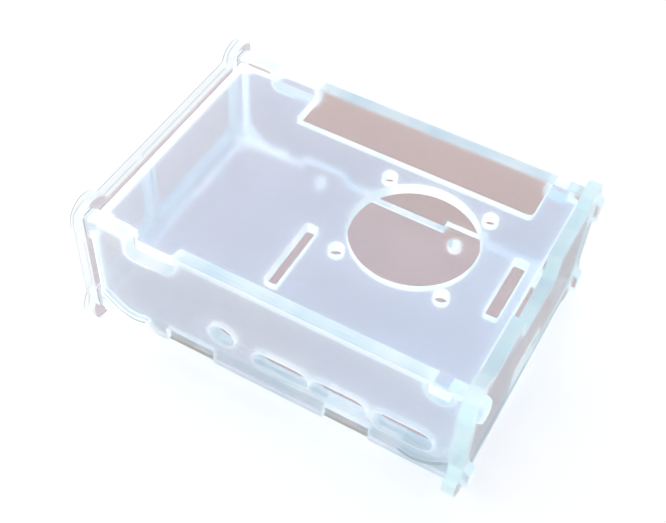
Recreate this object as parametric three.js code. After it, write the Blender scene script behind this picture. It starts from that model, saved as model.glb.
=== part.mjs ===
// Clear snap-together enclosure for a bare single-board computer.
// Six flat plates cut from one 3 mm clear acrylic sheet: a bottom plate, two long side
// plates (front with the port slots, back plain), two end plates whose round corner ears
// take the side plates' tabs, and a lid that swings on its own trunnion tabs in keyholes
// of the side plates.
//
// Millimetres, +Z up. Front is -Y and back, the header side, is +Y.
// Left is -X and right, the memory-card end, is +X.
// Origin: centre of the footprint, on the plane under the four lower ears.

import * as THREE from 'three';
import { mergeVertices } from 'three/addons/utils/BufferGeometryUtils.js';

// ---- shared dimensions -------------------------------------------------------------
const SHEET = 3.0;              // thickness of all six plates
const IN_X = 43.0;              // half the inside length, end plate to end plate
const IN_Y = 28.1;              // half the inside width, side plate to side plate
const OUT_X = IN_X + SHEET;     // outer faces of the end plates
const OUT_Y = IN_Y + SHEET;     // outer faces of the side plates
const EDGE_LOW = 3.0;           // lower edge of all four walls
const EDGE_TOP = 34.0;          // upper edge of all four walls
const FLOOR_Z = 4.0;            // underside of the bottom plate
const LID_Z = 29.8;             // underside of the lid
const FIT = 0.15;               // gap on each side of a tab in its slot

// Side plates' tabs through the end plates; reach is measured past the end plate.
const TAB_UP = { z0: 27.5, z1: 33.5, reach: 1.5, radius: 1.4 };
const TAB_LOW = { z0: 4.0, z1: 8.9, reach: 1.5, radius: 1.2 };

// Bottom plate's tabs: X ranges along the long edges, and half the width at the ends.
const FLOOR_TABS = [[-25.75, -13.95], [13.65, 24.25]];
const FLOOR_END_TAB = 6.0;

// Lid hinge line, along Y at mid-thickness of the closed lid.
const PIVOT = { x: 37.9, z: LID_Z + SHEET / 2 };

// ---- outlines: lists of [x, y] points in the sheet, counter-clockwise ----------------
const DEG = Math.PI / 180;

const angleOf = (x, y) => Math.atan2(y, x) / DEG;

// Arc about (x, y) between two angles in degrees, both ends included.
function arc(x, y, radius, from, to, step) {
  const count = Math.max(2, Math.ceil(Math.abs(to - from) / step));
  const points = [];
  for (let i = 0; i <= count; i++) {
    const angle = (from + (to - from) * i / count) * DEG;
    points.push([x + radius * Math.cos(angle), y + radius * Math.sin(angle)]);
  }
  return points;
}

const circle = (x, y, radius, count) =>
  arc(x, y, radius, 0, 360 - 360 / count, 360 / count);

function roundRect([x0, x1, y0, y1], radius, step = 18) {
  return [
    ...arc(x1 - radius, y0 + radius, radius, -90, 0, step),
    ...arc(x1 - radius, y1 - radius, radius, 0, 90, step),
    ...arc(x0 + radius, y1 - radius, radius, 90, 180, step),
    ...arc(x0 + radius, y0 + radius, radius, 180, 270, step),
  ];
}

// Mirror images, reversed so that they stay counter-clockwise.
const mirrorX = (points) => points.map(([x, y]) => [-x, y]).reverse();
const mirrorY = (points) => points.map(([x, y]) => [x, -y]).reverse();

// Corners below are { radius, step }, with step in degrees.

// Tab on a plate's -Y edge, reaching from rootY down to tipY.
function frontTab(x0, x1, rootY, tipY, left, right = left) {
  return [
    [x0, rootY],
    ...arc(x0 + left.radius, tipY + left.radius, left.radius, 180, 270, left.step),
    ...arc(x1 - right.radius, tipY + right.radius, right.radius, 270, 360, right.step),
    [x1, rootY],
  ];
}

// Tab from x = IN_X out to tipX.
function endTab(tipX, y0, y1, { radius, step }) {
  return [
    [IN_X, y0],
    ...arc(tipX - radius, y0 + radius, radius, -90, 0, step),
    ...arc(tipX - radius, y1 - radius, radius, 0, 90, step),
    [IN_X, y1],
  ];
}

// The two bottom corners of a recess open at the top, right to left.
function recessFloor(x0, x1, y, left, right) {
  return [
    ...arc(x1 - right.radius, y + right.radius, right.radius, 0, -90, right.step),
    ...arc(x0 + left.radius, y + left.radius, left.radius, -90, -180, left.step),
  ];
}

// Recess in a wall's top edge, with its mouth rounded over to radius lip.
function topRecess({ x0, x1, floor, lip, left, right }) {
  return [
    ...arc(x1 + lip, EDGE_TOP - lip, lip, 90, 180, 30),
    ...recessFloor(x0, x1, floor, left, right),
    ...arc(x0 - lip, EDGE_TOP - lip, lip, 0, 90, 30),
  ];
}

// ---- plates ------------------------------------------------------------------------
// Clear acrylic: faintly blue, glossy and see-through.
const acrylic = () => new THREE.MeshStandardMaterial({
  color: 0xdde3f2,
  roughness: 0.08,
  metalness: 0.0,
  transparent: true,
  opacity: 0.45,
});

// Where a sheet point (x, y) at depth z lands, named by the world plane it lies in.
const LAY = {
  xy: (x, y, z) => [x, y, z],
  yz: (x, y, z) => [z, x, y],
  xz: (x, y, z) => [x, z, y],
};

// Extrudes an outline by the sheet thickness; base is the plate's lower coordinate
// along its normal.
function plate(name, plane, base, outline, holes) {
  const vectors = (points) => points.map(([x, y]) => new THREE.Vector2(x, y));
  const shape = new THREE.Shape(vectors(outline));
  shape.holes = holes.map((hole) => new THREE.Path(vectors(hole)));
  const geometry = new THREE.ExtrudeGeometry(shape, { depth: SHEET, bevelEnabled: false });

  const position = geometry.attributes.position;
  for (let i = 0; i < position.count; i++) {
    const depth = base + position.getZ(i);
    position.setXYZ(i, ...LAY[plane](position.getX(i), position.getY(i), depth));
  }
  geometry.deleteAttribute('normal');
  geometry.deleteAttribute('uv');
  const solid = mergeVertices(geometry, 1e-5);

  // Laying a plate in XZ mirrors it, so its faces are turned back.
  if (plane === 'xz') {
    const index = solid.index.array;
    for (let i = 0; i < index.length; i += 3) {
      [index[i], index[i + 1]] = [index[i + 1], index[i]];
    }
  }
  solid.computeVertexNormals();
  const mesh = new THREE.Mesh(solid, acrylic());
  mesh.name = name;
  return mesh;
}

// ---- end plates, outlines in [Y, Z] --------------------------------------------------
const END_Y = 32.8;                              // half the width between the ears
const FOOT_RADIUS = 5.2;
const EAR_UP = { y: 28.7, z: 32.2, radius: 4.8 };
const EAR_LOW = { y: 29.3, z: FOOT_RADIUS, radius: FOOT_RADIUS };   // stands on Z 0
const LOW_SLOT_TOP = 9.75;                       // higher than the tab, so the hook passes
const FLOOR_SLOT_DROP = 0.1;                     // gap under the bottom plate's end tab
const SLOT_CORNER = 0.25;

// Openings as [y0, y1, z0, z1].
const JACK_OPENINGS = [
  [-26.5, -10.0, 10.0, 28.5],                    // one stacked USB pair
  [-7.9, 25.9, 10.0, 28.5],                      // second pair and network jack
];
const JACK_CORNER = 0.8;
const CARD_SLOT = [-7.0, 7.0, 8.6, 13.0];
const CARD_CORNER = 0.8;

const FINGER_CORNER = { radius: 3.0, step: 18 };
const FINGER_RECESS = {
  x0: -8.7, x1: 9.3, floor: 27.5, lip: 0.5, left: FINGER_CORNER, right: FINGER_CORNER,
};

// Ear on the +Y side, from where its circle leaves one edge line to where it meets the next.
function ear({ y, z, radius }, isUpper) {
  const toEdge = (isUpper ? EDGE_TOP : EDGE_LOW) - z;
  const toSide = END_Y - y;
  const alongEdge = Math.sqrt(radius ** 2 - toEdge ** 2);
  const alongSide = Math.sqrt(radius ** 2 - toSide ** 2);
  const edgeAngle = angleOf(-alongEdge, toEdge);
  const sideAngle = angleOf(toSide, isUpper ? -alongSide : alongSide);
  return isUpper
    ? arc(y, z, radius, sideAngle, edgeAngle, 10)
    : arc(y, z, radius, edgeAngle, sideAngle, 10);
}

function endPlate(name, baseX, recess, openings) {
  const ears = [...ear(EAR_LOW, false), ...ear(EAR_UP, true)];
  const outline = [...ears, ...recess, ...mirrorX(ears)];
  const y0 = IN_Y - FIT;
  const y1 = OUT_Y + FIT;
  const sideSlots = [
    [TAB_UP.z0 - FIT, TAB_UP.z1 + FIT],
    [TAB_LOW.z0 - FIT, LOW_SLOT_TOP],
  ].flatMap(([z0, z1]) => [[y0, y1, z0, z1], [-y1, -y0, z0, z1]]);
  const floorSlot = [
    -FLOOR_END_TAB - FIT, FLOOR_END_TAB + FIT,
    FLOOR_Z - FLOOR_SLOT_DROP, FLOOR_Z + SHEET + FIT,
  ];
  const slots = [...sideSlots, floorSlot].map((slot) => roundRect(slot, SLOT_CORNER, 45));
  return plate(name, 'yz', baseX, outline, [...slots, ...openings]);
}

function leftEndPlate() {
  const openings = JACK_OPENINGS.map((opening) => roundRect(opening, JACK_CORNER));
  return endPlate('left_end_plate', -OUT_X, [], openings);
}

function rightEndPlate() {
  const openings = [roundRect(CARD_SLOT, CARD_CORNER)];
  return endPlate('right_end_plate', IN_X, topRecess(FINGER_RECESS), openings);
}

// ---- side plates, outlines in [X, Z] -------------------------------------------------
// Snap hook under the lower tab's tip; gap is its clearance from the end plate.
const HOOK = { drop: 0.7, gap: 0.15, chamferX: 0.2, chamferZ: 0.25, radius: 0.7 };
const KEYHOLE_RADIUS = 3.1;                      // round seat, open through the top edge
const GRIP_RECESS = {                            // around and under a lid thumb tab
  x0: -34.1, x1: -22.0, floor: 27.0, lip: 0.6,
  left: { radius: 1.5, step: 18 },
  right: { radius: 3.5, step: 15 },
};
const NOTCH_TOP = 7.4;                           // notches for the bottom plate's tabs
const NOTCH_CORNER = 0.4;

const PORT_Z = 12.4;                             // centre height of the port slots
const PORT_HEIGHT = 5.8;
const PORT_CORNER = PORT_HEIGHT / 2 - 0.01;      // just short of a full half circle
const PORTS = [
  { x: 31.7, length: 13.8 },                     // power
  { x: 16.9, length: 13.4 },                     // display 1
  { x: 3.2, length: 13.2 },                      // display 2
];
const AUDIO = { x: -11.25, z: 14.7, radius: 3.05 };

// Relief slit that frees each snap arm: centre line as [x, z], from mouth to blind end.
const SLIT_WIDTH = 0.7;
const SLIT_STEPS = 14;
const SLIT = [
  [IN_X + 0.5, 9.9], [41.1, 8.0], [38.6, 6.0], [36.2, 4.95], [34.0, 4.8], [31.8, 5.5],
];

// Drops the part of a slit wall beyond x = IN_X and starts it on that line instead.
function clipToEdge(line) {
  const next = line.findIndex(([x]) => x <= IN_X);
  const [x0, z0] = line[next - 1];
  const [x1, z1] = line[next];
  const fraction = (IN_X - x0) / (x1 - x0);
  return [[IN_X, z0 + fraction * (z1 - z0)], ...line.slice(next)];
}

// In along the slit's lower wall, round its blind end and out along the upper wall.
function slitWalk() {
  const curve = new THREE.CatmullRomCurve3(SLIT.map(([x, z]) => new THREE.Vector3(x, z, 0)));
  const lower = [];
  const upper = [];
  for (let i = 0; i <= SLIT_STEPS; i++) {
    const point = curve.getPoint(i / SLIT_STEPS);
    const tangent = curve.getTangent(i / SLIT_STEPS);
    const shiftX = tangent.y * SLIT_WIDTH / 2;
    const shiftZ = tangent.x * SLIT_WIDTH / 2;
    lower.push([point.x - shiftX, point.y + shiftZ]);
    upper.push([point.x + shiftX, point.y - shiftZ]);
  }
  const [lowX, lowZ] = lower.at(-1);
  const [highX, highZ] = upper.at(-1);
  const x = (lowX + highX) / 2;
  const z = (lowZ + highZ) / 2;
  const start = angleOf(lowX - x, lowZ - z);
  // The arc's own ends are left out, since the walls already hold them.
  const blindEnd = arc(x, z, SLIT_WIDTH / 2, start, start - 180, 36).slice(1, -1);
  return [...clipToEdge(lower), ...blindEnd, ...clipToEdge(upper).reverse()];
}

// Right end, bottom to top: hooked lower tab, relief slit, upper tab.
function sideEnd() {
  const { z0, z1, reach, radius } = TAB_LOW;
  const tipX = OUT_X + reach;
  const hookX = OUT_X + HOOK.gap;
  const hookZ = z0 - HOOK.drop;
  return [
    [IN_X, EDGE_LOW],
    [IN_X, z0],
    [hookX, z0],
    [hookX, hookZ + HOOK.chamferZ],
    [hookX + HOOK.chamferX, hookZ],
    ...arc(tipX - HOOK.radius, hookZ + HOOK.radius, HOOK.radius, -90, 0, 22.5),
    ...arc(tipX - radius, z1 - radius, radius, 0, 90, 15),
    [IN_X, z1],
    ...slitWalk(),
    ...endTab(OUT_X + TAB_UP.reach, TAB_UP.z0, TAB_UP.z1, { radius: TAB_UP.radius, step: 15 }),
    [IN_X, EDGE_TOP],
  ];
}

// Clockwise round the underside of the seat, from top edge to top edge.
function keyhole() {
  const rise = EDGE_TOP - PIVOT.z;
  const start = angleOf(Math.sqrt(KEYHOLE_RADIUS ** 2 - rise ** 2), rise);
  return arc(PIVOT.x, PIVOT.z, KEYHOLE_RADIUS, start, -180 - start, 12);
}

function floorNotch([tab0, tab1]) {
  const x0 = tab0 - FIT;
  const x1 = tab1 + FIT;
  const z = NOTCH_TOP - NOTCH_CORNER;
  return [
    [x0, EDGE_LOW],
    ...arc(x0 + NOTCH_CORNER, z, NOTCH_CORNER, 180, 90, 30),
    ...arc(x1 - NOTCH_CORNER, z, NOTCH_CORNER, 90, 0, 30),
    [x1, EDGE_LOW],
  ];
}

function sidePlate(name, baseY, holes) {
  const right = sideEnd();
  const outline = [
    ...FLOOR_TABS.flatMap(floorNotch),
    ...right,
    ...keyhole(),
    ...topRecess(GRIP_RECESS),
    ...mirrorX(right),
  ];
  return plate(name, 'xz', baseY, outline, holes);
}

function frontPlate() {
  const z0 = PORT_Z - PORT_HEIGHT / 2;
  const z1 = PORT_Z + PORT_HEIGHT / 2;
  const ports = PORTS.map(({ x, length }) =>
    roundRect([x - length / 2, x + length / 2, z0, z1], PORT_CORNER, 15));
  return sidePlate('front_plate', -OUT_Y, [...ports, circle(AUDIO.x, AUDIO.z, AUDIO.radius, 32)]);
}

const backPlate = () => sidePlate('back_plate', IN_Y, []);

// ---- bottom plate, outline in [X, Y] -------------------------------------------------
const FLOOR_TAB_Y = 30.3;                        // reach of the long-edge tabs
const FLOOR_CORNER = { radius: 0.6, step: 30 };
const BOARD_HOLES = { xs: [39.3, -18.7], ys: [24.5, -24.5], radius: 1.4 };
const SPARE_HOLE = { x: 18.2, y: 24.2, radius: 1.5 };

function bottomPlate() {
  const frontTabs = FLOOR_TABS.flatMap(([x0, x1]) =>
    frontTab(x0, x1, -IN_Y, -FLOOR_TAB_Y, FLOOR_CORNER));
  const rightTab = endTab(OUT_X, -FLOOR_END_TAB, FLOOR_END_TAB, FLOOR_CORNER);
  const outline = [
    [-IN_X, -IN_Y], ...frontTabs, [IN_X, -IN_Y],
    ...rightTab,
    [IN_X, IN_Y], ...mirrorY(frontTabs), [-IN_X, IN_Y],
    ...rightTab.map(([x, y]) => [-x, -y]),
  ];
  const { xs, ys, radius } = BOARD_HOLES;
  const holes = [
    ...xs.flatMap((x) => ys.map((y) => circle(x, y, radius, 20))),
    circle(SPARE_HOLE.x, SPARE_HOLE.y, SPARE_HOLE.radius, 20),
  ];
  return plate('bottom_plate', 'xy', FLOOR_Z, outline, holes);
}

// ---- lid, outline in [X, Y] ----------------------------------------------------------
const LID_Y = 27.85;                             // half width
const LID_X0 = -42.75;                           // free edge
const LID_X1 = 42.6;                             // hinge-side edge
const LID_CORNER = 0.5;
const TRUNNION = { half: 2.3, tipY: 31.0, corner: { radius: 0.4, step: 45 } };
const THUMB_TAB = {                              // near the free edge
  x0: -33.0, x1: -22.7, tipY: 30.2,
  left: { radius: 2.0, step: 22.5 },
  right: { radius: 1.0, step: 30 },
};
const FAN = { x: 16.5, y: 1.1, radius: 14.0 };   // opening for a 30 mm fan
const FAN_SCREWS = { offset: 12.0, radius: 1.65 };   // 24 mm square pattern
const HEADER_NOTCH = {                           // open to the back edge
  x0: -21.9, x1: 35.75, y: 18.2,
  left: { radius: 0.3, step: 45 },
  right: { radius: 1.2, step: 18 },
};
const RIBBON_CORNER = 0.5;
const RIBBON_SLOTS = [                           // [x0, x1, y0, y1]
  [-4.1, -1.2, -25.45, -7.9],                    // camera
  [37.3, 40.35, -10.4, 6.0],                     // display
];

function lidHoles() {
  const { offset, radius } = FAN_SCREWS;
  const sides = [-offset, offset];
  return [
    circle(FAN.x, FAN.y, FAN.radius, 96),
    ...sides.flatMap((dy) => sides.map((dx) => circle(FAN.x + dx, FAN.y + dy, radius, 24))),
    ...RIBBON_SLOTS.map((slot) => roundRect(slot, RIBBON_CORNER, 30)),
  ];
}

function lidPlate() {
  const thumb = THUMB_TAB;
  const notch = HEADER_NOTCH;
  const thumbTab = frontTab(thumb.x0, thumb.x1, -LID_Y, -thumb.tipY, thumb.left, thumb.right);
  const { half, tipY, corner } = TRUNNION;
  const trunnion = frontTab(PIVOT.x - half, PIVOT.x + half, -LID_Y, -tipY, corner);
  const lidCorner = (x, y, from) => arc(x, y, LID_CORNER, from, from + 90, 45);
  const x0 = LID_X0 + LID_CORNER;
  const x1 = LID_X1 - LID_CORNER;
  const y0 = -LID_Y + LID_CORNER;
  const y1 = LID_Y - LID_CORNER;
  const outline = [
    ...lidCorner(x0, y0, 180),
    ...thumbTab,
    ...trunnion,
    ...lidCorner(x1, y0, 270),
    ...lidCorner(x1, y1, 0),
    ...mirrorY(trunnion),
    [notch.x1, LID_Y],
    ...recessFloor(notch.x0, notch.x1, notch.y, notch.left, notch.right),
    [notch.x0, LID_Y],
    ...mirrorY(thumbTab),
    ...lidCorner(x0, y1, 90),
  ];
  return plate('lid_plate', 'xy', LID_Z, outline, lidHoles());
}

const enclosure = new THREE.Group();
enclosure.add(
  bottomPlate(),
  frontPlate(),
  backPlate(),
  leftEndPlate(),
  rightEndPlate(),
  lidPlate(),
);

export default enclosure;
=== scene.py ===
"""Looks for the clear plate enclosure: six acrylic plates with smooth arcs, eased edges and
procedural acrylic, on a plain pale floor in soft studio light.

The case stands on z = 0, centred on the origin. Its long side runs along x, its front faces -y,
and the camera looks down from the front right. Plates are worked out in mm, the rest in metres."""

import math
from dataclasses import dataclass
from types import SimpleNamespace

import bpy
import numpy as np
from mathutils import Matrix, Vector
from mathutils.geometry import delaunay_2d_cdt


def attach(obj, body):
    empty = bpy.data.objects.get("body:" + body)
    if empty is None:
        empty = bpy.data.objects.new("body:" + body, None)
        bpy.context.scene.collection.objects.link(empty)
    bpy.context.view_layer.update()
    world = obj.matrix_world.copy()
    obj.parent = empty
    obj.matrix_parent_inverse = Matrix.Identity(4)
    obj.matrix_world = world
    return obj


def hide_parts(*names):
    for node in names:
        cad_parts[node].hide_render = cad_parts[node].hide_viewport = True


MM = 0.001
X, Y, Z = 0, 1, 2
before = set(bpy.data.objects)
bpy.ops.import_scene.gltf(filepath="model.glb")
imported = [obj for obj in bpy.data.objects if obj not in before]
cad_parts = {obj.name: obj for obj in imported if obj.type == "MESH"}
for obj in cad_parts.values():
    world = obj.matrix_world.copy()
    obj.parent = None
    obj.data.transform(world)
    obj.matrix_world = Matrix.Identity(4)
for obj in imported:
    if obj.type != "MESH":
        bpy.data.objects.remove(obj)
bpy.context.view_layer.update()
scene = bpy.context.scene

# ---------------------------------------------------------------------------------
# Plate sizes, mm and degrees
# ---------------------------------------------------------------------------------
EASE = 0.16             # radius of the eased edges
EASE_STEPS = 3
SUPPORT = 0.03          # narrow flat strip beside each round, keeps shading flat
ARC_STEP = 4.0          # angle between points on refined arcs
ARC_TURNS = (1.0, 48)   # turn between two edges that can belong to one arc
ARC_MAX_RADIUS = 30
RINGS = (0.40, 0.80, 1.30, 2.0)   # distances from the outline where the caps carry points
TAPER = 0.9             # length over which the ease fades towards a sharp tip
TAPER_LEAST = 0.06      # share of the ease left at the tip
TIP_TURN = 130          # a corner that turns more than this is a tip
STEP_LENGTH = 0.25      # a shorter edge between corners of STEP_TURN is a tiny step
STEP_TURN = 60
SLIT_WIDTH = 1.15       # narrower openings count as slits
CORNER_GLOW = 13.0      # reach of the painted white glow around a plate's corners

# Vertex attributes that steer the acrylic:
# along  distance along the outline, mm       rim   1 on the cut edge, fading over the round
# tip    1 at the plate's corners             bore  1 on the walls of holes
# near   strength of the painted pale glow band    slit  1 on the walls of narrow slits
# lip    1 on the round at the plate's low side
ATTRIBUTES = ("along", "rim", "tip", "bore", "near", "slit", "lip")


# ---------------------------------------------------------------------------------
# Outlines. The loops come from each CAD node's own cap face.
# ---------------------------------------------------------------------------------
def plane_axes(axis):
    return [other for other in (X, Y, Z) if other != axis]


def signed_area(loop):
    here = np.array(loop)
    after = np.roll(here, -1, 0)
    return 0.5 * float((here[:, 0] * after[:, 1] - here[:, 1] * after[:, 0]).sum())


def cap_loops(obj, axis):
    """Outlines of the cap at the high side of axis, in mm, with the plate's low and high side.
    The outer loop comes first and runs anticlockwise, the holes run clockwise."""
    mesh = obj.data
    coords = np.array([vertex.co for vertex in mesh.vertices], float) / MM
    high = coords[:, axis].max()
    low = coords[:, axis].min()
    first, second = plane_axes(axis)
    # vertices at the same place become one point
    known, points = {}, []
    ids = np.zeros(len(coords), int)
    for i, co in enumerate(coords):
        key = (round(co[first] * 500), round(co[second] * 500), round(co[axis] * 100))
        if key not in known:
            known[key] = len(points)
            points.append((co[first], co[second], co[axis]))
        ids[i] = known[key]
    # an edge that two cap faces share cancels out, so the outline is left
    edges = {}
    for poly in mesh.polygons:
        corners = [ids[v] for v in poly.vertices]
        if any(abs(points[c][2] - high) > 1e-3 for c in corners) or len(set(corners)) < 3:
            continue
        for start, end in zip(corners, corners[1:] + corners[:1]):
            if (end, start) in edges:
                del edges[(end, start)]
            else:
                edges[(start, end)] = True
    following = dict(edges.keys())
    loops = []
    while following:
        loop, at = [], min(following)
        while at in following:
            loop.append((points[at][0], points[at][1]))
            at = following.pop(at)
        loops.append(loop)
    loops.sort(key=lambda loop: -abs(signed_area(loop)))
    turned = [loop if (signed_area(loop) > 0) == (i == 0) else loop[::-1]
              for i, loop in enumerate(loops)]
    return turned, low, high


def wrap(angle):
    return (angle + math.pi) % (2 * math.pi) - math.pi


def corner_turns(points):
    """Signed turn at each point, between the edge before it and the edge after it."""
    count = len(points)
    headings = [math.atan2(*(points[(i + 1) % count] - points[i])[::-1]) for i in range(count)]
    return [wrap(headings[i] - headings[i - 1]) for i in range(count)]


def circle_through(first, second, third):
    """Centre and radius, or None for points on a line."""
    (x1, y1), (x2, y2), (x3, y3) = first, second, third
    double = 2 * (x1 * (y2 - y3) + x2 * (y3 - y1) + x3 * (y1 - y2))
    if abs(double) < 1e-9:
        return None
    square1, square2, square3 = x1 * x1 + y1 * y1, x2 * x2 + y2 * y2, x3 * x3 + y3 * y3
    x = (square1 * (y2 - y3) + square2 * (y3 - y1) + square3 * (y1 - y2)) / double
    y = (square1 * (x3 - x2) + square2 * (x1 - x3) + square3 * (x2 - x1)) / double
    return (x, y), math.hypot(x1 - x, y1 - y)


def find_arcs(points):
    """Circle of each edge, or None where the edge is straight. Two neighbouring edges of nearly
    the same length with a moderate turn between them lie on an arc."""
    count = len(points)
    lengths = [float(np.linalg.norm(points[(i + 1) % count] - points[i])) for i in range(count)]
    turns = corner_turns(points)
    least, most = (math.radians(turn) for turn in ARC_TURNS)
    arcs = [None] * count
    for i in range(count):
        j = (i + 1) % count
        if abs(lengths[i] - lengths[j]) > 0.02 * max(lengths[i], lengths[j]):
            continue
        if not least < abs(turns[j]) < most:
            continue
        circle = circle_through(points[i], points[j], points[(j + 1) % count])
        if circle is None or circle[1] > ARC_MAX_RADIUS:
            continue
        for edge in (i, j):
            if arcs[edge] is None:
                arcs[edge] = circle
    return arcs


def refine(loop):
    """Adds points on the true circle between the points of every regular arc."""
    points = [np.array(point) for point in loop]
    refined = []
    for i, arc in enumerate(find_arcs(points)):
        here, after = points[i], points[(i + 1) % len(points)]
        refined.append(tuple(here))
        if arc is None:
            continue
        (x, y), radius = arc
        if abs(math.hypot(after[0] - x, after[1] - y) - radius) > 0.01:
            continue
        start = math.atan2(here[1] - y, here[0] - x)
        sweep = wrap(math.atan2(after[1] - y, after[0] - x) - start)
        steps = max(1, int(round(abs(math.degrees(sweep)) / ARC_STEP)))
        for step in range(1, steps):
            angle = start + sweep * step / steps
            refined.append((x + radius * math.cos(angle), y + radius * math.sin(angle)))
    return refined


def taper_tips(loop):
    """Adds a point on each long edge beside a sharp tip or a tiny step. Returns the loop and the
    share of the full ease that each point carries, which fades towards such a corner."""
    count = len(loop)
    points = [np.array(point) for point in loop]
    turns = corner_turns(points)
    tips = {i for i in range(count) if turns[i] > math.radians(TIP_TURN)}
    for i in range(count):
        j = (i + 1) % count
        is_short = np.hypot(*(points[j] - points[i])) < STEP_LENGTH
        if is_short and min(abs(turns[i]), abs(turns[j])) > math.radians(STEP_TURN):
            tips |= {i, j}
    split = []
    for i in range(count):
        j = (i + 1) % count
        split.append(points[i])
        length = float(np.linalg.norm(points[j] - points[i]))
        if length > 1.3 * TAPER:
            share = TAPER / length
            if i in tips:
                split.append(points[i] + (points[j] - points[i]) * share)
            if j in tips:
                split.append(points[j] + (points[i] - points[j]) * share)
    eases = np.ones(len(split))
    for k, point in enumerate(split):
        for i in tips:
            share = float(np.hypot(*(point - points[i]))) / TAPER
            eases[k] = min(eases[k], max(TAPER_LEAST, share))
    return [tuple(point) for point in split], eases


def inset(loop, depth):
    """The loop moved by depth to its left (into the material), with mitred corners."""
    points = np.array(loop)
    edges = np.roll(points, -1, 0) - points
    edges /= np.linalg.norm(edges, axis=1)[:, None]
    normals = np.stack([-edges[:, 1], edges[:, 0]], 1)
    before = np.roll(normals, 1, 0)
    spread = 1 + (before * normals).sum(1)
    mitre = (before + normals) / np.maximum(spread, 0.35)[:, None]
    return points + mitre * np.broadcast_to(depth, len(points))[:, None]


def inside(point, loops):
    """Even-odd test against all the outlines."""
    x, y = point
    odd = False
    for loop in loops:
        start = np.asarray(loop)
        end = np.roll(start, -1, 0)
        crosses = (start[:, 1] > y) != (end[:, 1] > y)
        if crosses.any():
            low, high = start[crosses], end[crosses]
            rise = (y - low[:, 1]) / (high[:, 1] - low[:, 1])
            hits = low[:, 0] + rise * (high[:, 0] - low[:, 0])
            odd ^= bool((hits > x).sum() % 2)
    return odd


def slit_walls(loop, loops):
    """1 for points on the walls of a slit, 0 elsewhere: just off the wall lies open space, and
    a slit's width away lies material again."""
    points = np.array(loop)
    outward = points - inset(loop, 1.0)
    outward /= np.maximum(np.linalg.norm(outward, axis=1), 1e-9)[:, None]
    return [1.0 if inside(point + out * SLIT_WIDTH, loops)
            and not inside(point + out * 0.3, loops) else 0.0
            for point, out in zip(points, outward)]


# ---------------------------------------------------------------------------------
# Caps
# ---------------------------------------------------------------------------------
def outline_distance(points, loops):
    """Shortest distance from each point to any outline."""
    points = np.asarray(points, float)
    best = np.full(len(points), 1e9)
    for loop in loops:
        starts = np.array(loop)
        edges = np.roll(starts, -1, 0) - starts
        squares = np.maximum((edges * edges).sum(1), 1e-12)
        for start, edge, square in zip(starts, edges, squares):
            share = np.clip(((points - start) @ edge) / square, 0, 1)
            nearest = start + share[:, None] * edge
            best = np.minimum(best, np.hypot(*(points - nearest).T))
    return best


def ring_points(loops):
    """Points on the curves that run at RINGS distances inside the outlines, with their distance."""
    found, far = [], []
    for distance in RINGS:
        tried = []
        for loop in loops:
            starts = np.array(loop)
            edges = np.roll(starts, -1, 0) - starts
            for start, edge in zip(starts, edges):
                length = float(np.hypot(*edge))
                normal = np.array([-edge[1], edge[0]]) / max(length, 1e-9)
                count = max(1, int(round(length / (1.0 + distance))))
                tried += [start + edge * ((j + 0.5) / count) + normal * distance
                          for j in range(count)]
        tried = np.array(tried)
        clear = outline_distance(tried, loops) > distance - 0.01
        spacing = 0.45 * (0.6 + distance)
        kept = []
        for point in tried[clear]:
            if all(math.hypot(point[0] - other[0], point[1] - other[1]) > spacing
                   for other in kept[-12:]):
                kept.append(point)
        found += kept
        far += [distance] * len(kept)
    return found, far


def cap_mesh(rings, loops):
    """Triangles over a cap with points near its outline: (extra points, distances, triangles).
    The ring vertices come first, in order, and the extra points after them."""
    points, edges = [], []
    for ring in rings:
        base, count = len(points), len(ring)
        edges += [(base + i, base + (i + 1) % count) for i in range(count)]
        points += [Vector(point) for point in ring]
    extra, far = ring_points(loops)
    points += [Vector((float(point[0]), float(point[1]))) for point in extra]
    placed, _, faces, sources, _, _ = delaunay_2d_cdt(points, edges, [], 0, 1e-7)
    source_of = []
    for point, source in zip(placed, sources):
        if not source:                      # a point where two narrow strips meet
            source = [len(points)]
            extra.append(np.array([point[0], point[1]]))
            far.append(0.1)
            points.append(point)
        source_of.append(source[0])
    outlines = [np.array(ring) for ring in rings]
    triangles = []
    for face in faces:
        face = [source_of[i] for i in face]
        centre = [sum(points[i][side] for i in face) / 3 for side in (0, 1)]
        if inside(centre, outlines):
            triangles.append(face)
    return extra, far, triangles


# ---------------------------------------------------------------------------------
# Plates. In a plate's own mm, x and y lie in its plane and z runs along its normal.
# ---------------------------------------------------------------------------------
def band(node, axis, x, y):
    """Strength of the pale band beside the cut edges, a painted glow: strongest at the left end of
    the lid, stronger at the left of the front and back plates, and elsewhere on the upright plates
    weaker low down. On upright plates y is the height.
    """
    if node == "lid_plate":
        return 2.3 if x < -39.0 else 0.8
    if axis == Z:
        return 1.0
    if axis == Y and x < -29.0:
        return 1.55
    return min(1.0, max(0.25, 0.25 + (y - 5.0) / 12.0))


def edge_profile(low, high):
    """(inset, height) across a cut edge, from the low cap to the high cap."""
    half = [(EASE + SUPPORT, low)]
    for step in range(EASE_STEPS + 1):
        angle = math.pi / 2 * step / EASE_STEPS
        half.append((EASE * (1 - math.sin(angle)), low + EASE * (1 - math.cos(angle))))
    half.append((0.0, low + EASE + SUPPORT))
    return half + [(depth, high + low - z) for depth, z in reversed(half)]


def rim_share(depth):
    if depth < EASE * 0.6:
        return 1.0
    return 0.45 if depth < EASE * 1.01 else 0.0


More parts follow.
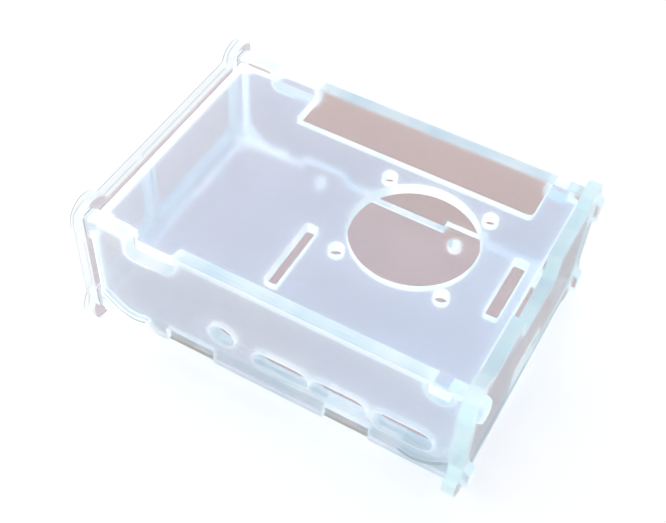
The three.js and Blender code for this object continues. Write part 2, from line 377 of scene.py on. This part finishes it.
class PlateShape:
    """Vertices, faces and attributes of one plate."""

    def __init__(self, node, axis):
        loops, low, high = cap_loops(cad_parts[node], axis)
        tapered = [taper_tips(refine(loop)) for loop in loops]
        self.node, self.axis = node, axis
        self.loops = [loop for loop, _ in tapered]
        self.profile = edge_profile(low, high)
        self.verts, self.faces = [], []
        self.values = {name: [] for name in ATTRIBUTES}
        outer = np.array(self.loops[0])
        sides = [(outer[:, side].min(), outer[:, side].max()) for side in (0, 1)]
        self.corners = [(x, y) for x in sides[0] for y in sides[1]]
        rings = [self.add_walls(number, eases) for number, (_, eases) in enumerate(tapered)]
        for level in (0, len(self.profile) - 1):
            self.add_cap(level, [ring[level] for ring in rings])

    def add_vertex(self, x, y, z, near=1.0, **values):
        self.verts.append((x, y, z))
        corner = min(math.hypot(x - far_x, y - far_y) for far_x, far_y in self.corners)
        values["tip"] = max(0.0, 1.0 - corner / CORNER_GLOW)
        values["near"] = near * band(self.node, self.axis, x, y)
        for name in ATTRIBUTES:
            self.values[name].append(values.get(name, 0.0))

    def add_walls(self, number, eases):
        """The cut edge along one loop. Returns its vertex numbers, level by level."""
        loop = self.loops[number]
        points = np.array(loop)
        steps = np.linalg.norm(np.roll(points, -1, 0) - points, axis=1)
        along = np.concatenate([[0], np.cumsum(steps)[:-1]])
        slit = slit_walls(loop, self.loops)
        base, count = len(self.verts), len(points)
        for level, (depth, z) in enumerate(self.profile):
            for i, (x, y) in enumerate(inset(loop, depth * eases)):
                self.add_vertex(x, y, z, along=along[i], slit=slit[i], rim=rim_share(depth),
                                bore=1.0 if number else 0.0,
                                lip=1.0 if 2 <= level <= EASE_STEPS + 1 else 0.0)
        levels = [[base + level * count + i for i in range(count)]
                  for level in range(len(self.profile))]
        for below, above in zip(levels, levels[1:]):
            for i in range(count):
                j = (i + 1) % count
                self.faces.append((below[i], below[j], above[j], above[i]))
        return levels

    def add_cap(self, level, rings):
        numbers = [i for ring in rings for i in ring]
        outlines = [[self.verts[i][:2] for i in ring] for ring in rings]
        extra, far, triangles = cap_mesh(outlines, self.loops)
        for (x, y), distance in zip(extra, far):
            numbers.append(len(self.verts))
            self.add_vertex(float(x), float(y), self.profile[level][1],
                            near=max(0.0, 1.0 - distance / RINGS[-1]))
        for triangle in triangles:
            face = [numbers[i] for i in triangle]
            (x1, y1, _), (x2, y2, _), (x3, y3, _) = (self.verts[i] for i in face)
            anticlockwise = (x2 - x1) * (y3 - y1) - (y2 - y1) * (x3 - x1) > 0
            if anticlockwise != (level > 0):
                face.reverse()
            self.faces.append(tuple(face))

    def placed(self):
        """Vertices in metres on the frame's axes, and faces that look outwards."""
        first, second = plane_axes(self.axis)
        places = []
        for x, y, z in self.verts:
            place = [0.0, 0.0, 0.0]
            place[first], place[second], place[self.axis] = x * MM, y * MM, z * MM
            places.append(tuple(place))
        if self.axis == Y:                  # x, z, y is a left-handed order
            return places, [tuple(reversed(face)) for face in self.faces]
        return places, self.faces


def build_plate(node, axis, body):
    shape = PlateShape(node, axis)
    verts, faces = shape.placed()
    mesh = bpy.data.meshes.new(node + "_clear")
    mesh.from_pydata(verts, [], faces)
    mesh.validate()
    mesh.update()
    for name, values in shape.values.items():
        attribute = mesh.attributes.new(name, "FLOAT", "POINT")
        attribute.data.foreach_set("value", np.array(values, np.float32))
    plate = bpy.data.objects.new(node + "_clear", mesh)
    scene.collection.objects.link(plate)
    mesh.polygons.foreach_set("use_smooth", [True] * len(mesh.polygons))
    mesh.set_sharp_from_angle(angle=math.radians(38))
    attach(plate, body)
    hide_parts(node)
    return plate


# ---------------------------------------------------------------------------------
# Shader nodes
# ---------------------------------------------------------------------------------
class Net:
    """Short calls that make and link the nodes of one material or world."""

    def __init__(self, owner):
        owner.use_nodes = True
        self.tree = owner.node_tree
        self.tree.nodes.clear()

    def put(self, socket, value):
        if isinstance(value, bpy.types.NodeSocket):
            self.tree.links.new(value, socket)
        else:
            socket.default_value = value

    def node(self, kind, *values, settings=None, **inputs):
        """Plain values fill the inputs in order, named ones go to the input of that name."""
        made = self.tree.nodes.new("ShaderNode" + kind)
        for name, value in (settings or {}).items():
            setattr(made, name, value)
        for key, value in [*enumerate(values), *inputs.items()]:
            self.put(made.inputs[key], value)
        return made

    def out(self, kind, *values, **inputs):
        return self.node(kind, *values, **inputs).outputs[0]

    def math(self, operation, *values, clamp=False):
        return self.out("Math", *values, settings={"operation": operation, "use_clamp": clamp})

    def mul(self, first, second):
        return self.math("MULTIPLY", first, second)

    def mul_add(self, value, factor, addend, clamp=False):
        return self.math("MULTIPLY_ADD", value, factor, addend, clamp=clamp)

    def mix(self, share, first, second):
        made = self.node("Mix", settings={"data_type": "RGBA"})
        for index, value in ((0, share), (6, first), (7, second)):   # the colour sockets
            self.put(made.inputs[index], value)
        return made.outputs[2]

    def ramp(self, value, *stops):
        """Grey ramp through two (position, level) stops."""
        made = self.node("ValToRGB", value)
        for element, (position, level) in zip(made.color_ramp.elements, stops):
            element.position = position
            element.color = (level, level, level, 1)
        return made.outputs[0]

    def xyz(self, vector):
        return self.node("SeparateXYZ", vector).outputs

    def noise_along(self, distance, rate, roughness):
        return self.out("TexNoise", W=self.mul(distance, rate), Scale=1.0, Detail=2.0,
                        Roughness=roughness, settings={"noise_dimensions": "1D"})

    def matte(self, color, bump):
        """Scatter seen from both sides."""
        front = self.out("BsdfDiffuse", Color=color, Normal=bump)
        through = self.out("BsdfTranslucent", Color=color, Normal=bump)
        return self.out("MixShader", 0.5, front, through)

    def mirror_ray(self, path):
        """1 on mirror rays that haven't passed through the acrylic."""
        direct = self.math("SUBTRACT", 1.0, path["Is Transmission Ray"])
        return self.mul(path["Is Glossy Ray"], direct)


# ---------------------------------------------------------------------------------
# Acrylic
# ---------------------------------------------------------------------------------
SHEET_IOR = 1.49
SHEET_PASS = (0.985, 0.985, 1.0, 1)      # tint of refraction through the faces
EDGE_PASS = (0.95, 0.99, 1.0, 1)         # and through the cut edges
SHADOW_PASS = (0.95, 0.93, 0.93, 1)      # light that reaches the inside through one surface
SMUDGE = (0.80, 0.86, 0.97, 1)
PAINTED_EDGE_GLOW = (0.94, 0.99, 1.0, 1)              # painted pale glow beside a cut edge, in the scatter
PAINTED_HALO = (0.86, 0.97, 1.0, 1)              # and its painted halo, an emission
PAINTED_SKY = (0.0, 0.40, 1.0, 1)               # painted bluish sky reflection on the faces, an emission
RIM_WHITE = (0.97, 1.0, 1.0, 1)          # white end of the cut edges' painted glow
RIM_CYAN = (0.64, 0.86, 1.0, 1)          # and its blue-cyan end
RIM_RIGHT = (0.66, 0.96, 0.99, 1)        # painted glow colour of the cut edges at the right end of the case
# painted shade on the walls of narrow slits
SLIT_SHADE = (0.32, 0.40, 0.44, 1)
# painted shade line along the round at a plate's low side
LIP_SHADE = (0.10, 0.12, 0.14, 1)


@dataclass
class Look:
    haze: float             # scatter of the faces
    tint: tuple             # and its colour
    blur: float             # roughness of the faces
    gloss: float            # strength of mirror images
    glow: float             # glow of the cut edges, painted as an emission
    white: float            # how white that glow is
    ring: float             # strength of the painted pale glow band beside the cut edges
    solid: float            # how solid the cut edges look
    outline: float = 0.0    # how dark the painted shade line along their low side is
    blue: float = 0.0       # strength of the painted bluish sky reflection on the faces
    hole_dim: float = 0.08  # loss of glow on the walls of holes
    far_lit: bool = False   # cut edges glow more at the back than at the front


def plate_inputs(net, seed):
    """What the acrylic reads at each point of a plate."""
    at = SimpleNamespace()
    at.point = net.node("TexCoord").outputs["Object"]
    at.shifted = net.out("Mapping", at.point, Location=(seed * 0.37, seed * 0.21, seed * 0.11))
    for name in ATTRIBUTES:
        attribute = net.node("Attribute", settings={"attribute_name": name})
        setattr(at, name, attribute.outputs["Fac"])
    geometry = net.node("NewGeometry").outputs
    at.back = geometry["Backfacing"]
    normal = net.xyz(geometry["Normal"])
    at.up = normal[Z]
    at.fore = net.ramp(net.mul(normal[Y], -1.0), (0.5, 0.0), (0.9, 1.0))
    at.place = net.xyz(at.point)
    at.inner = net.mul(at.bore, at.back)    # walls of holes seen through the sheet
    # fine marks of the cut across the thickness
    at.cuts = net.noise_along(at.along, rate=1.6, roughness=0.6)
    return at


def stretched(net, at, axis, rotation, coarse, fine):
    """Coordinates for a pattern with one fine direction in the plate's plane."""
    scale = (coarse, coarse, fine) if axis == Y else (coarse, fine, coarse)
    return net.out("Mapping", at.shifted, Rotation=rotation, Scale=scale)


def smudges(net, at):
    """Broad handling smudges, 15 to 40 mm across."""
    noise = net.out("TexNoise", Vector=at.shifted, Scale=55.0, Detail=3.0, Roughness=0.55,
                    Distortion=0.6)
    return net.ramp(noise, (0.42, 0.0), (0.68, 1.0))


def streaks(net, at, axis):
    """Wiped streaks, long in one direction."""
    vector = stretched(net, at, axis, rotation=(0.3, 0.2, 0.62), coarse=90.0, fine=900.0)
    noise = net.out("TexNoise", Vector=vector, Scale=1.0, Detail=2.0)
    return net.ramp(noise, (0.60, 0.0), (0.78, 1.0))


def scratches(net, at, axis):
    """Hairline scratches: thin borders of stretched cells."""
    vector = stretched(net, at, axis, rotation=(0.7, 0.5, -0.9), coarse=60.0, fine=420.0)
    border = net.out("TexVoronoi", Vector=vector, Scale=1.0,
                     settings={"feature": "DISTANCE_TO_EDGE"})
    return net.ramp(border, (0.0, 1.0), (0.012, 0.0))


def dust_specks(net, at):
    cells = net.out("TexVoronoi", Vector=at.shifted, Scale=520.0, settings={"feature": "F1"})
    specks = net.ramp(cells, (0.05, 1.0), (0.085, 0.0))
    keep = net.out("TexNoise", Vector=at.shifted, Scale=800.0, Detail=0.0)
    return net.mul(specks, net.ramp(keep, (0.60, 0.0), (0.66, 1.0)))


def surface_bump(net, at):
    """The very slight waviness of cast sheet on the faces, and cutting marks on the edges."""
    wave = net.out("TexNoise", Vector=at.shifted, Scale=45.0, Detail=0.0)
    off_rim = net.math("SUBTRACT", 1.0, at.rim)
    waves = net.mul(net.mul(wave, 0.08), off_rim)
    height = net.math("ADD", waves, net.mul(at.cuts, at.rim))
    return net.out("Bump", Height=height, Strength=0.20, Distance=0.0002)


def clear_sheet(net, at, look, smudge, bump):
    """Refraction, and a mirror share that keeps its full strength under total reflection."""
    rough = net.mul_add(smudge, 0.04, look.blur)
    rough = net.math("MAXIMUM", rough, net.mul(at.rim, 0.16))
    fresnel = net.out("Fresnel", IOR=SHEET_IOR, Normal=bump)
    total = net.math("GREATER_THAN", fresnel, 0.97)
    gloss = net.math("MAXIMUM", look.gloss, net.mul(at.rim, 0.8))
    share = net.mul(fresnel, net.math("MAXIMUM", total, gloss))
    refraction = net.out("BsdfRefraction", Color=net.mix(at.rim, SHEET_PASS, EDGE_PASS),
                         Roughness=rough, IOR=SHEET_IOR, Normal=bump)
    reflection = net.out("BsdfGlossy", Color=(1.0, 1.0, 1.0, 1), Roughness=rough, Normal=bump)
    return net.out("MixShader", share, refraction, reflection)


def face_shaders(net, at, look, axis, smudge, bump, glass):
    """The face of the sheet, and its tinted scatter alone. Close to a cut edge the scatter is
    denser and whiter and carries an emitted halo: a painted glow."""
    edge = net.math("POWER", at.near, 2.2)
    color = net.mix(net.mul(smudge, 0.35), look.tint, SMUDGE)
    color = net.mix(edge, color, PAINTED_EDGE_GLOW)
    # painted bluish sky reflection, an emission that grows from the middle of the case to its right
    # end
    cast = net.ramp(net.mul(net.xyz(at.point)[X], 23.0), (0.0, 0.45), (1.0, 1.0))
    painted_sky = net.out("Emission", Color=PAINTED_SKY, Strength=net.mul(cast, look.blue * 2.2))
    plain = net.out("AddShader", net.matte(color, bump), painted_sky)
    halo = net.out("Emission", Color=PAINTED_HALO, Strength=net.mul(edge, 0.55 * look.ring))
    scatter = net.out("AddShader", plain, halo)
    amount = net.mul_add(smudge, 0.05, look.haze)
    amount = net.mul_add(streaks(net, at, axis), 0.012, amount)
    amount = net.mul_add(scratches(net, at, axis), 0.012, amount)
    amount = net.mul_add(dust_specks(net, at), 0.35, amount)
    amount = net.mul_add(edge, 0.42 * look.ring, amount, clamp=True)
    return net.out("MixShader", amount, glass, scatter), plain


def edge_whiteness(net, at, look):
    """0 where a cut edge glows blue-cyan, along the runs, to 1 where it glows white."""
    slow = net.noise_along(at.along, rate=0.10, roughness=0.5)
    lit = net.math("ADD", net.ramp(slow, (0.30, 0.0), (0.75, 0.75)), look.white)
    lit = net.mul_add(net.math("SUBTRACT", at.cuts, 0.5), 0.16, lit)
    # painted light: the glow is whiter towards the left end, on walls that face the front and at
    # the plate's corners
    left = net.ramp(net.mul_add(at.place[X], -22.0, 0.0), (0.35, 0.0), (0.95, 0.7))
    lit = net.math("ADD", left, lit)
    lit = net.mul_add(at.fore, 0.45, lit, clamp=True)
    lit = net.math("MAXIMUM", lit, net.mul(at.tip, 0.9), clamp=True)
    patches = net.ramp(slow, (0.36, 0.10), (0.58, 1.0))
    return net.math("MAXIMUM", lit, net.mul(at.inner, patches))


def edge_color(net, at, look, lit):
    color = net.mix(lit, RIM_CYAN, RIM_WHITE)
    right = net.ramp(net.mul(at.place[X], 23.0), (0.70, 0.0), (1.0, 1.0))
    right = net.mul(right, net.mul_add(at.fore, 0.42, 0.18))
    color = net.mix(right, color, RIM_RIGHT)
    rightward = net.ramp(net.mul_add(at.place[X], 10.0, 0.5), (0.3, 0.55), (0.7, 1.0))
    # painted shade on the walls of narrow slits, fuller towards the right
    color = net.mix(net.mul(at.slit, rightward), color, SLIT_SHADE)
    # painted shade line along the round at the plate's low side
    return net.mix(net.mul(at.lip, look.outline), color, LIP_SHADE)


def cut_edge(net, at, look, axis, bump, glass, plain):
    """The cut edge gathers light, so it glows."""
    lit = edge_whiteness(net, at, look)
    color = edge_color(net, at, look, lit)
    power = net.mul(look.glow, net.mul_add(at.bore, -look.hole_dim, 1.0))
    if look.far_lit:
        backward = net.mul_add(at.place[Y], 20.0, 0.5)
        power = net.mul(power, net.ramp(backward, (0.2, 0.5), (0.8, 1.0)))
    strength = net.mul(net.mul_add(lit, 0.30, 1.0), power)
    # painted glow: the cut edges emit light of their own
    glow = net.out("Emission", Color=color, Strength=strength)
    glow_share = net.mul_add(at.fore, 0.12, 0.62)
    glowing = net.out("MixShader", glow_share, net.matte(color, bump), glow)
    # the lower wall of a hole in an upright plate looks down into the sheet and takes its tint
    upward = 0.0 if axis == Z else net.ramp(at.up, (0.25, 0.0), (0.75, 1.0))
    sill = net.mul(net.mul(at.bore, net.math("SUBTRACT", 1.0, at.back)), upward)
    glowing = net.out("MixShader", net.mul(sill, 0.8), glowing, plain)
    solid = net.mul_add(at.inner, 0.30, look.solid)
    # the painted shade line also makes that round more solid
    solid = net.mul_add(net.mul(at.lip, look.outline), 0.4, solid)
    solid = net.mul_add(sill, -0.08, solid, clamp=True)
    return net.out("MixShader", solid, glass, glowing)


def acrylic(name, seed, axis, look):
    """Clear sheet: refracting faces with a faint scatter, smudges, hairline scratches and dust,
    and bright cut edges with fine cutting marks across the thickness."""
    material = bpy.data.materials.new(name)
    net = Net(material)
    at = plate_inputs(net, seed)
    smudge = smudges(net, at)
    bump = surface_bump(net, at)
    glass = clear_sheet(net, at, look, smudge, bump)
    face, plain = face_shaders(net, at, look, axis, smudge, bump, glass)
    edge = cut_edge(net, at, look, axis, bump, glass, plain)
    sheet = net.out("MixShader", at.rim, face, edge)
    # clear sheet lets daylight through to what it covers
    shadow_ray = net.node("LightPath").outputs["Is Shadow Ray"]
    clear = net.out("BsdfTransparent", Color=SHADOW_PASS)
    net.node("OutputMaterial", net.out("MixShader", shadow_ray, sheet, clear))
    return material


# node: (axis of its normal, body, look). The plates are one acrylic; their haze, tint and gloss
# differ partly as real haze and partly as painted light and shade on each plate. The front is
# milkiest, the floor plate nearly clear.
PLATES = {
    "bottom_plate": (Z, "case", Look(
        haze=0.05, tint=(0.85, 0.78, 0.80, 1), blur=0.05, gloss=0.45, glow=0.98, white=-0.10,
        ring=0.7, solid=0.72, far_lit=True)),
    "front_plate": (Y, "case", Look(
        haze=0.42, tint=(0.93, 0.99, 1.0, 1), blur=0.16, gloss=1.0, glow=1.00, white=0.10,
        ring=0.65, solid=0.60, outline=0.15, blue=0.06)),
    "back_plate": (Y, "case", Look(
        haze=0.06, tint=(0.80, 0.78, 0.84, 1), blur=0.06, gloss=0.5, glow=1.0, white=0.0,
        ring=0.85, solid=0.60, outline=0.30)),
    "left_end_plate": (X, "case", Look(
        haze=0.13, tint=(0.66, 0.70, 0.88, 1), blur=0.10, gloss=0.8, glow=1.0, white=0.35,
        ring=0.22, solid=0.60, outline=1.0, hole_dim=0.40)),
    "right_end_plate": (X, "case", Look(
        haze=0.31, tint=(0.88, 0.88, 0.86, 1), blur=0.12, gloss=0.10, glow=0.90, white=-0.25,
        ring=0.65, solid=0.62, outline=0.10)),
    "lid_plate": (Z, "lid", Look(
        haze=0.22, tint=(0.68, 0.86, 1.0, 1), blur=0.15, gloss=1.0, glow=1.04, white=0.35,
        ring=0.42, solid=0.84, blue=0.07)),
}
for seed, (node, (axis, body, look)) in enumerate(PLATES.items(), start=1):
    plate = build_plate(node, axis, body)
    plate.data.materials.append(acrylic("acrylic_" + node, seed, axis, look))

# ---------------------------------------------------------------------------------
# Floor, light, camera, in metres
# ---------------------------------------------------------------------------------
FLOOR_HALF = 3.0
FLOOR_DROP = 0.0002                  # keeps the floor clear of the bottom plate
SHADOW_PATCH_HALF = (0.0440, 0.0286)        # half sizes of the painted shadow under the case
FLOOR_WARM = ((0.60, 0.455, 0.410, 1), (0.65, 0.505, 0.460, 1))   # ends of the grain
# painted reflection: the floor's colour in mirror images, bluish white
FLOOR_MIRRORED = (0.80, 0.88, 0.95, 1)
FLOOR_OPEN = (0.97, 0.97, 0.97, 1)   # as the camera sees it around the case
FLOOR_SHADOW_PAINT = (0.50, 0.47, 0.41, 1)  # and the painted shadow under it
FLOOR_GLOW = (0.86, 0.95, 1.0, 1)


def floor_material():
    material = bpy.data.materials.new("floor")
    net = Net(material)
    path = net.node("LightPath").outputs
    camera_ray = path["Is Camera Ray"]
    point = net.node("TexCoord").outputs["Object"]
    grain = net.out("TexNoise", Vector=point, Scale=30.0, Detail=4.0)
    mirror = net.mirror_ray(path)
    # painted reflection: mirror rays see the floor bluish white
    color = net.mix(mirror, net.mix(grain, *FLOOR_WARM), FLOOR_MIRRORED)
    place = net.xyz(point)
    # painted shadow: camera rays see the floor darker within the case's footprint
    under = net.mul(*(net.math("LESS_THAN", net.math("ABSOLUTE", place[side], 0.0), half)
                      for side, half in enumerate(SHADOW_PATCH_HALF)))
    around = net.mul(camera_ray, net.math("SUBTRACT", 1.0, under))
    color = net.mix(around, color, FLOOR_OPEN)
    color = net.mix(net.mul(camera_ray, under), color, FLOOR_SHADOW_PAINT)
    # the bright studio around the case: a little light for the eye, more for mirror images
    lift = net.mul_add(mirror, 0.75, net.mul(around, 0.10))
    glow = net.out("Emission", Color=FLOOR_GLOW, Strength=lift)
    matte = net.out("BsdfDiffuse", Color=color)
    net.node("OutputMaterial", net.out("AddShader", matte, glow))
    return material


def build_floor():
    mesh = bpy.data.meshes.new("floor")
    signs = ((-1, -1), (1, -1), (1, 1), (-1, 1))
    mesh.from_pydata([(x * FLOOR_HALF, y * FLOOR_HALF, 0) for x, y in signs], [], [(0, 1, 2, 3)])
    floor = bpy.data.objects.new("floor", mesh)
    scene.collection.objects.link(floor)
    floor.location.z = -FLOOR_DROP
    mesh.materials.append(floor_material())


def build_world():
    """White light, brighter and bluer for what is seen through or mirrored in the acrylic."""
    world = bpy.data.worlds.new("studio")
    scene.world = world
    net = Net(world)
    path = net.node("LightPath").outputs
    color = net.mix(path["Is Transmission Ray"], (1.0, 1.0, 1.0, 1), (1.5, 1.75, 1.95, 1))
    color = net.mix(net.mirror_ray(path), color, (2.1, 2.75, 3.3, 1))
    net.node("OutputWorld", net.out("Background", Color=color, Strength=0.72))


def softbox(name, place, target, size, power, color):
    light = bpy.data.lights.new(name, "AREA")
    light.shape = "RECTANGLE"
    light.size, light.size_y = size
    light.energy = power
    light.color = color
    lamp = bpy.data.objects.new(name, light)
    scene.collection.objects.link(lamp)
    lamp.location = place
    aim = Vector(target) - Vector(place)
    lamp.rotation_euler = aim.to_track_quat("-Z", "Y").to_euler()


def build_camera():
    lens = bpy.data.cameras.new("camera")
    camera = bpy.data.objects.new("camera", lens)
    scene.collection.objects.link(camera)
    lens.sensor_width = 36.0
    lens.lens = 61.5754865
    lens.clip_start = 0.01
    right = (0.87162717, 0.48882266, 0.0363109)
    up = (-0.39689455, 0.66035367, 0.63750117)
    backward = (0.28764698, -0.57007494, 0.76959325)
    pose = Matrix((right, up, backward)).transposed().to_4x4()
    pose.translation = Vector((0.07217199, -0.14615789, 0.21072208))
    camera.matrix_world = pose
    scene.camera = camera


build_floor()
build_world()
softbox("key", place=(-0.55, -0.15, 0.60), target=(0, 0, 0.02), size=(0.5, 0.5), power=2.2,
        color=(1.0, 0.99, 0.98))
softbox("sky", place=(-0.35, 0.75, 0.80), target=(0, 0, 0.03), size=(1.1, 0.8), power=2.4,
        color=(0.80, 0.88, 1.0))
build_camera()

scene.view_settings.view_transform = "Standard"
scene.view_settings.look = "None"
CYCLES = {
    "max_bounces": 20,
    "transmission_bounces": 16,
    "glossy_bounces": 8,
    "transparent_max_bounces": 24,
    "diffuse_bounces": 5,
    "caustics_reflective": False,
    "caustics_refractive": True,
    "blur_glossy": 0.5,
    "sample_clamp_indirect": 6.0,
    "use_denoising": True,
    "denoising_input_passes": "RGB",
}
for name, value in CYCLES.items():
    setattr(scene.cycles, name, value)
